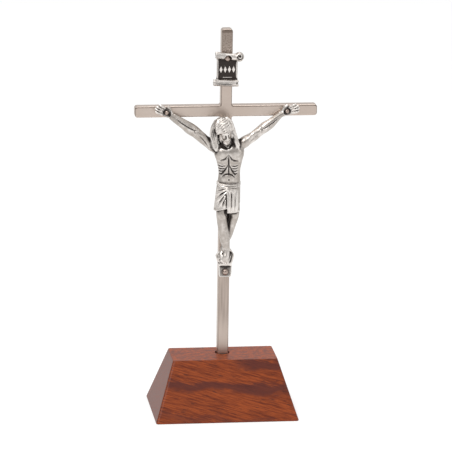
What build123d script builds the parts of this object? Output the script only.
from build123d import *
from math import cos, radians, sin
import os

# Table crucifix: a cross of square bars stands in a wooden block and carries a cast figure and a scroll.
# Millimetres, +Z up, the front looks along -Y, and the origin is the middle of the block's underside.

# Wooden block
base_width = 52.0
base_depth = 35.0
base_top_width = 38.0
base_top_depth = 16.5
base_height = 21.0
base_arris_radius = 0.9
base_rim_radius = 0.3
socket_setback = 1.5
socket_depth = 15.0
socket_clearance = 0.05

# Cross of square bars
bar_width = 4.0
bar_arris_radius = 0.45
bar_end_radius = 1.0
braze_radius = 0.6
crossbar_length = 65.5
top_height = 141.0
head_length = 29.8

# Rivets
shank_radius = 0.6
shank_clearance = 0.02
tail_radius = 0.95
tail_height = 0.3
hand_head_radius = 0.95
hand_head_height = 0.75
recess_clearance = 0.2
recess_depth = 4.0
scroll_head_radius = 1.15
scroll_head_height = 0.8
foot_head_radius = 1.3
foot_head_height = 0.8

# Figure: its stations are drawn at a size, from the middle of the crossing, and scaled to its real drop
foot_rivet_drop = 59.1
drawn_drop = 59.1
left_hand_side = -21.5
right_hand_side = 21.7
hand_thickness = 1.1
hand_pad_radius = 1.75
finger_pitch = 0.85
finger_rise = 30.0
crown_side = -2.1
crown_forward = 4.9
crown_drop = 4.7
crown_radius = 3.4
crown_thickness = 0.5
foot_rivet_side = 0.3
foot_plate_thickness = 1.2
foot_plate_half_width = 3.6
foot_tab_half_width = 2.2
foot_tab_length = 2.0
foot_plate_rise = 8.9
foot_plate_waist = 6.2

# Scroll: its rolls and its field, from the middle of the upright
sheet_thickness = 0.7
field_half_width = 3.7
field_rise = 10.8
field_length = 9.9
top_roll_radius = 0.95
top_roll_left = -4.4
top_roll_right = 4.0
bottom_roll_radius = 1.0
bottom_roll_left = -5.1
bottom_roll_right = 4.1
roll_turn = 290.0
curl_reach = 5.7
curl_radius = 1.45
scroll_rivet_inset = 1.3
scroll_rivet_side = 0.1

# Places that several pieces share
bar_half = bar_width / 2
bar_front = socket_setback - bar_half
bar_back = socket_setback + bar_half
bar_corner_radius = (bar_half - bar_arris_radius) * 2**0.5 + bar_arris_radius
socket_radius = bar_corner_radius + socket_clearance
foot_height = base_height - socket_depth
hole_radius = shank_radius + shank_clearance
crossbar_height = top_height - head_length
field_bottom = crossbar_height + field_rise
field_top = field_bottom + field_length
scroll_rivet_height = field_top - scroll_rivet_inset
foot_rivet_height = crossbar_height - foot_rivet_drop
figure_scale = foot_rivet_drop / drawn_drop


def across_bars(side, height):
    """A plane on the bars' back, whose normal runs out through their front."""
    return Plane((side, bar_back, height), x_dir=(1, 0, 0), z_dir=(0, -1, 0))


def figure_point(side, forward, drop):
    """A point of the figure: sideways, out from the bars' front and down from the crossing, as drawn."""
    return Vector(0, bar_front, crossbar_height) + Vector(side, -forward, -drop) * figure_scale


def form(stations):
    """A rounded form through oval sections: side, forward, drop, half width, half depth."""
    points = [figure_point(side, forward, drop) for side, forward, drop, _, _ in stations]
    last = len(points) - 1
    with BuildPart() as rounded:
        for index, (_, _, _, half_width, half_depth) in enumerate(stations):
            run = points[min(index + 1, last)] - points[max(index - 1, 0)]
            with BuildSketch(Plane(points[index], x_dir=(0, -1, 0), z_dir=run)):
                Ellipse(half_depth * figure_scale, half_width * figure_scale)
        loft()
    return rounded.part


def finger(hand_side, outward, place):
    """One curled finger that leaves the hand outwards and up; place is its offset across the hand."""
    along = Vector(cos(radians(finger_rise)), sin(radians(finger_rise)))
    stations = []
    for reach, lift, radius in ((1.2, 0.8, 0.5), (2.4, 1.4, 0.48), (3.5, 1.7, 0.42), (4.1, 1.5, 0.25)):
        side = hand_side + outward * (reach * along.X + place * along.Y)
        drop = place * along.X - reach * along.Y
        stations.append((side, lift, drop, radius, radius))
    return form(stations)


def arm(shoulder, hand_side):
    """One arm: its shoulder stations, then an elbow, forearm and wrist at shares of the way to the hand."""
    start = shoulder[-1][0]
    reach = [
        (start + share * (hand_side - start), *station)
        for share, *station in (
            (0.21, 2.0, 7.0, 1.75, 1.4),
            (0.36, 1.9, 5.6, 1.9, 1.5),
            (0.52, 1.8, 4.1, 1.65, 1.4),
            (0.775, 1.3, 1.6, 0.95, 0.9),
            (0.92, 1.0, 0.6, 1.2, 0.8),
        )
    ]
    return form(shoulder + reach)


def hand(hand_side, outward):
    """The forms of one open hand round its rivet: the palm, the curled fingers and the thumb."""
    palm = [
        (hand_side - outward * 1.3, 0.9, 0.6, 1.2, 0.7),
        (hand_side + outward * 0.6, 0.9, -0.3, 1.75, 0.8),
        (hand_side + outward * 1.9, 1.0, -1.0, 1.7, 0.7),
    ]
    thumb = [
        (hand_side - outward * 1.2, 0.9, -0.3, 0.55, 0.55),
        (hand_side - outward * 0.9, 1.2, -1.6, 0.5, 0.5),
        (hand_side - outward * 0.2, 1.4, -2.4, 0.3, 0.3),
    ]
    fingers = [finger(hand_side, outward, step * finger_pitch) for step in (-1.5, -0.5, 0.5, 1.5)]
    return [form(palm), *fingers, form(thumb)]


def cut_round(places, radius, start, length):
    """Cuts a round hole at each place, from start out from the bars' back."""
    with Locations(*places):
        with Locations((0, 0, start)):
            Cylinder(radius, length, align=(Align.CENTER, Align.CENTER, Align.MIN), mode=Mode.SUBTRACT)


def rivet(side, height, seat, head_radius, head_height):
    """A domed rivet through a bar: its head seats out from the bars' front, its tail is peened behind."""
    seat_place = bar_front - seat
    crown_place = seat_place - head_height
    tail_place = bar_back + tail_height
    with BuildPart() as pin:
        with BuildSketch(Plane.XY.offset(height)):
            with BuildLine():
                Polyline(
                    (side + tail_radius, bar_back),
                    (side + shank_radius, bar_back),
                    (side + shank_radius, seat_place),
                    (side + head_radius, seat_place),
                )
                TangentArc((side, crown_place), (side + head_radius, seat_place), tangent=(1, 0))
                TangentArc((side, tail_place), (side + tail_radius, bar_back), tangent=(1, 0))
                Line((side, crown_place), (side, tail_place))
            make_face()
        revolve(axis=Axis((side, 0, height), (0, 1, 0)))
    return pin.part


# The block, with the blind hole for the upright's foot
with BuildPart() as base_block:
    with BuildSketch():
        Rectangle(base_width, base_depth)
    with BuildSketch(Plane.XY.offset(base_height)):
        Rectangle(base_top_width, base_top_depth)
    loft()
    level = base_block.faces().filter_by(Axis.Z).edges()
    fillet(base_block.edges() - level, base_arris_radius)
    rims = base_block.faces().filter_by(Axis.Z).edges()
    fillet(rims, base_rim_radius)
    with Locations((0, socket_setback, base_height)):
        Hole(socket_radius, socket_depth)

# Where the rivets go through the bars
hand_sides = (left_hand_side * figure_scale, right_hand_side * figure_scale)
hand_places = [across_bars(side, crossbar_height) for side in hand_sides]
foot_place = across_bars(foot_rivet_side, foot_rivet_height)
scroll_place = across_bars(scroll_rivet_side, scroll_rivet_height)

# The whole cross as brazed and polished, before it is told apart into its two bars
with BuildPart() as cross_outline:
    with BuildSketch(across_bars(0, 0)) as outline:
        with Locations((0, (top_height + foot_height) / 2)):
            Rectangle(bar_width, top_height - foot_height)
        with Locations((0, crossbar_height)):
            Rectangle(crossbar_length, bar_width)
        inner = outline.vertices().sort_by_distance((0, crossbar_height))[:4]
        fillet(inner, braze_radius)
        corners = outline.vertices()
        across = corners.group_by(Axis.X)
        fillet(across[0] + across[-1] + corners.group_by(Axis.Y)[-1], bar_end_radius)
    extrude(amount=bar_width)
    rims = cross_outline.faces().filter_by(Axis.Y).edges()
    fillet(rims, bar_arris_radius)
    cut_round([scroll_place, foot_place, *hand_places], hole_radius, 0, bar_width)

# The crossbar passes behind the upright's front half at the half-lap
with BuildPart() as crossbar:
    add(cross_outline.part)
    with Locations((0, socket_setback, crossbar_height)):
        Box(crossbar_length, bar_width, bar_width, mode=Mode.INTERSECT)
    with Locations((0, bar_front, crossbar_height)):
        Box(bar_width, bar_width, bar_width, mode=Mode.SUBTRACT)

with BuildPart() as upright:
    add(cross_outline.part)
    add(crossbar.part, mode=Mode.SUBTRACT)

# The scroll: a flat field with a roll along its top and its foot, and a turned-out corner
with BuildPart() as scroll:
    sheet_middle = bar_front - sheet_thickness / 2
    with BuildSketch(Plane.YZ):
        with Locations((sheet_middle, (field_bottom + field_top) / 2)):
            Rectangle(sheet_thickness, field_length)
    extrude(amount=field_half_width, both=True)
    with BuildSketch(Plane.YZ.offset(top_roll_left)):
        with BuildLine():
            CenterArc((sheet_middle - top_roll_radius, field_top), top_roll_radius, 0, roll_turn)
        trace(line_width=sheet_thickness)
    extrude(amount=top_roll_right - top_roll_left)
    with BuildSketch(Plane.YZ.offset(bottom_roll_left)):
        with BuildLine():
            CenterArc((sheet_middle - bottom_roll_radius, field_bottom), bottom_roll_radius, 0, -roll_turn)
        trace(line_width=sheet_thickness)
    extrude(amount=bottom_roll_right - bottom_roll_left)
    with BuildSketch(Plane.YZ.offset(field_half_width - curl_radius)):
        with Locations((bar_front - curl_radius, field_top)):
            Circle(curl_radius)
    extrude(amount=curl_reach - field_half_width + curl_radius)
    cut_round([scroll_place], hole_radius, bar_width, sheet_thickness)
    recess_radius = scroll_head_radius + recess_clearance
    cut_round([scroll_place], recess_radius, bar_width + sheet_thickness, recess_depth)

# The forms of the figure, from the neck down to the seat and out to the hands and feet
trunk = form(
    [
        (-0.2, 3.9, 9.0, 1.6, 1.5),
        (0.4, 3.2, 11.2, 2.4, 1.8),
        (0.75, 2.7, 12.6, 4.5, 2.3),
        (0.85, 2.8, 14.6, 5.1, 2.8),
        (0.95, 2.9, 17.6, 4.5, 2.8),
        (1.05, 2.6, 21.2, 3.85, 2.4),
        (0.95, 2.6, 25.0, 4.05, 2.5),
        (0.7, 2.8, 30.0, 4.1, 2.7),
    ]
)
loincloth = form(
    [
        (0.9, 2.7, 25.6, 4.2, 2.8),
        (0.8, 2.8, 27.0, 4.35, 3.0),
        (0.6, 3.1, 31.5, 4.5, 3.3),
        (0.45, 3.4, 36.0, 4.75, 3.5),
    ]
)
left_arm = arm(
    [
        (-2.6, 2.7, 14.2, 1.6, 1.6),
        (-5.2, 2.6, 12.0, 1.9, 1.8),
        (-8.6, 2.3, 9.3, 1.6, 1.5),
    ],
    left_hand_side,
)
right_arm = arm(
    [
        (4.0, 2.7, 13.4, 1.6, 1.6),
        (6.3, 2.6, 10.8, 1.9, 1.8),
        (9.1, 2.3, 8.8, 1.6, 1.5),
    ],
    right_hand_side,
)
head_stations = [
    (-2.7, 4.3, 1.7, 0.9, 1.0),
    (-2.4, 4.6, 2.7, 2.3, 2.5),
    (-1.9, 5.0, 4.9, 3.2, 3.6),
    (-1.2, 5.4, 7.4, 3.1, 3.6),
    (-0.7, 5.9, 9.7, 2.2, 2.6),
    (-0.4, 6.2, 11.0, 1.1, 1.5),
]
head = form(head_stations)
head_run = figure_point(*head_stations[-1][:3]) - figure_point(*head_stations[0][:3])
hair = form(
    [
        (-2.5, 3.6, 1.9, 2.4, 1.8),
        (-2.1, 3.5, 3.6, 4.0, 2.8),
        (-1.7, 3.2, 6.8, 4.7, 3.0),
        (-1.3, 2.9, 9.8, 4.8, 2.5),
        (-0.4, 2.6, 12.6, 4.4, 2.0),
    ]
)
left_lock = form(
    [
        (-4.6, 4.0, 5.6, 1.5, 1.5),
        (-4.6, 4.2, 9.0, 1.4, 1.4),
        (-3.9, 4.5, 12.0, 1.1, 1.2),
        (-3.4, 4.7, 13.7, 0.5, 0.6),
    ]
)
right_lock = form(
    [
        (1.7, 3.9, 5.6, 1.3, 1.4),
        (2.7, 4.1, 8.8, 1.2, 1.3),
        (3.5, 4.4, 11.2, 0.9, 1.0),
        (3.9, 4.6, 12.7, 0.5, 0.6),
    ]
)
nose = form(
    [
        (-1.5, 8.4, 6.0, 0.35, 0.4),
        (-1.25, 8.9, 7.4, 0.5, 0.5),
        (-1.15, 8.5, 7.9, 0.3, 0.3),
    ]
)
beard = form(
    [
        (-0.8, 6.3, 9.4, 1.9, 2.1),
        (-0.4, 6.7, 11.2, 1.8, 1.5),
        (-0.2, 6.8, 12.4, 0.9, 0.7),
    ]
)
belt = form(
    [
        (0.9, 2.7, 25.2, 4.3, 2.9),
        (0.9, 2.75, 25.9, 4.6, 3.15),
        (0.9, 2.75, 26.6, 4.3, 2.9),
    ]
)
chest = [
    form(
        [
            (side, 3.9, 13.0, 1.5, 0.9),
            (side, 4.4, 15.2, 2.1, 1.4),
            (side, 4.2, 16.9, 1.5, 0.9),
        ]
    )
    for side in (-1.45, 3.1)
]
hanging_folds = [
    form(
        [
            (side, 3.9, 26.4, 0.9, 1.7),
            (side + 0.05, 4.5, 32.0, 0.95, 2.0),
            (side + 0.1, 4.8, 37.3, 1.05, 2.2),
        ]
    )
    for side in (1.2, 2.7, 4.1)
]
drawn_folds = [
    form(
        [
            (0.3, 5.9, 27.4 + 0.6 * step, 0.4, 0.5),
            (-1.7, 5.6, 28.6 + 2.0 * step, 0.6, 0.7),
            (-3.5 + 0.3 * step, 4.4 + 0.3 * step, 29.8 + 3.0 * step, 0.5, 0.6),
        ]
    )
    for step in range(3)
]
left_leg = form(
    [
        (-1.4, 3.0, 28.0, 2.2, 2.2),
        (-1.6, 3.6, 32.0, 2.2, 2.2),
        (-1.8, 4.3, 36.0, 2.05, 2.1),
        (-1.5, 4.0, 39.2, 1.85, 1.9),
        (-1.0, 3.5, 43.0, 1.8, 1.8),
        (-0.3, 3.1, 47.0, 1.4, 1.4),
        (0.2, 3.0, 49.8, 1.15, 1.2),
        (0.2, 3.6, 52.2, 1.35, 1.2),
        (0.0, 4.2, 54.4, 1.3, 0.9),
        (-0.1, 4.3, 55.4, 0.8, 0.5),
    ]
)
right_leg = form(
    [
        (2.4, 2.8, 28.0, 2.1, 2.1),
        (2.6, 3.1, 32.0, 2.1, 2.1),
        (2.5, 3.6, 36.5, 1.9, 2.0),
        (2.0, 3.1, 40.5, 1.7, 1.8),
        (1.2, 2.5, 44.5, 1.4, 1.5),
        (0.2, 2.0, 48.5, 1.1, 1.1),
        (-0.8, 1.9, 51.0, 1.15, 1.0),
        (-1.5, 2.3, 53.2, 1.1, 0.9),
        (-1.7, 2.6, 54.6, 0.7, 0.5),
    ]
)

# The casting: every form, the pads that lie on the bars, a flat back and the rivet holes
with BuildPart() as corpus:
    add(trunk)
    for dress in (loincloth, belt, *hanging_folds, *drawn_folds, *chest):
        add(dress)
    for limb in (left_leg, right_leg, left_arm, right_arm):
        add(limb)
    for digit in hand(left_hand_side, -1) + hand(right_hand_side, 1):
        add(digit)
    for feature in (hair, left_lock, right_lock, head, nose, beard):
        add(feature)
    with Locations(Plane(figure_point(crown_side, crown_forward, crown_drop), z_dir=head_run)):
        Torus(crown_radius * figure_scale, crown_thickness * figure_scale)
    with Locations(*hand_places):
        with Locations((0, 0, bar_width)):
            Cylinder(hand_pad_radius, hand_thickness, align=(Align.CENTER, Align.CENTER, Align.MIN))
    with BuildSketch(foot_place.offset(bar_width)):
        Polygon(
            (-foot_tab_half_width, -foot_tab_length),
            (foot_tab_half_width, -foot_tab_length),
            (foot_plate_half_width, foot_plate_waist),
            (foot_tab_half_width / 2, foot_plate_rise),
            (-foot_tab_half_width / 2, foot_plate_rise),
            (-foot_plate_half_width, foot_plate_waist),
            align=None,
        )
    extrude(amount=foot_plate_thickness)
    with Locations((0, bar_front, crossbar_height - foot_rivet_drop / 2)):
        Box(
            crossbar_length,
            bar_width,
            2 * foot_rivet_drop,
            align=(Align.CENTER, Align.MIN, Align.CENTER),
            mode=Mode.SUBTRACT,
        )
    cut_round(hand_places, hole_radius, bar_width, hand_thickness)
    recess_radius = hand_head_radius + recess_clearance
    cut_round(hand_places, recess_radius, bar_width + hand_thickness, recess_depth)
    cut_round([foot_place], hole_radius, bar_width, foot_plate_thickness)
    recess_radius = foot_head_radius + recess_clearance
    cut_round([foot_place], recess_radius, bar_width + foot_plate_thickness, recess_depth)

scroll_rivet = rivet(
    scroll_rivet_side, scroll_rivet_height, sheet_thickness, scroll_head_radius, scroll_head_height
)
left_hand_rivet, right_hand_rivet = (
    rivet(side, crossbar_height, hand_thickness, hand_head_radius, hand_head_height)
    for side in hand_sides
)
foot_rivet = rivet(
    foot_rivet_side, foot_rivet_height, foot_plate_thickness, foot_head_radius, foot_head_height
)

pieces = {
    "base_block": base_block.part,
    "upright": upright.part,
    "crossbar": crossbar.part,
    "corpus": corpus.part,
    "scroll": scroll.part,
    "scroll_rivet": scroll_rivet,
    "left_hand_rivet": left_hand_rivet,
    "right_hand_rivet": right_hand_rivet,
    "foot_rivet": foot_rivet,
}
os.makedirs("parts", exist_ok=True)
for node, piece in pieces.items():
    piece.label = node
    export_step(piece, f"parts/{node}.step")
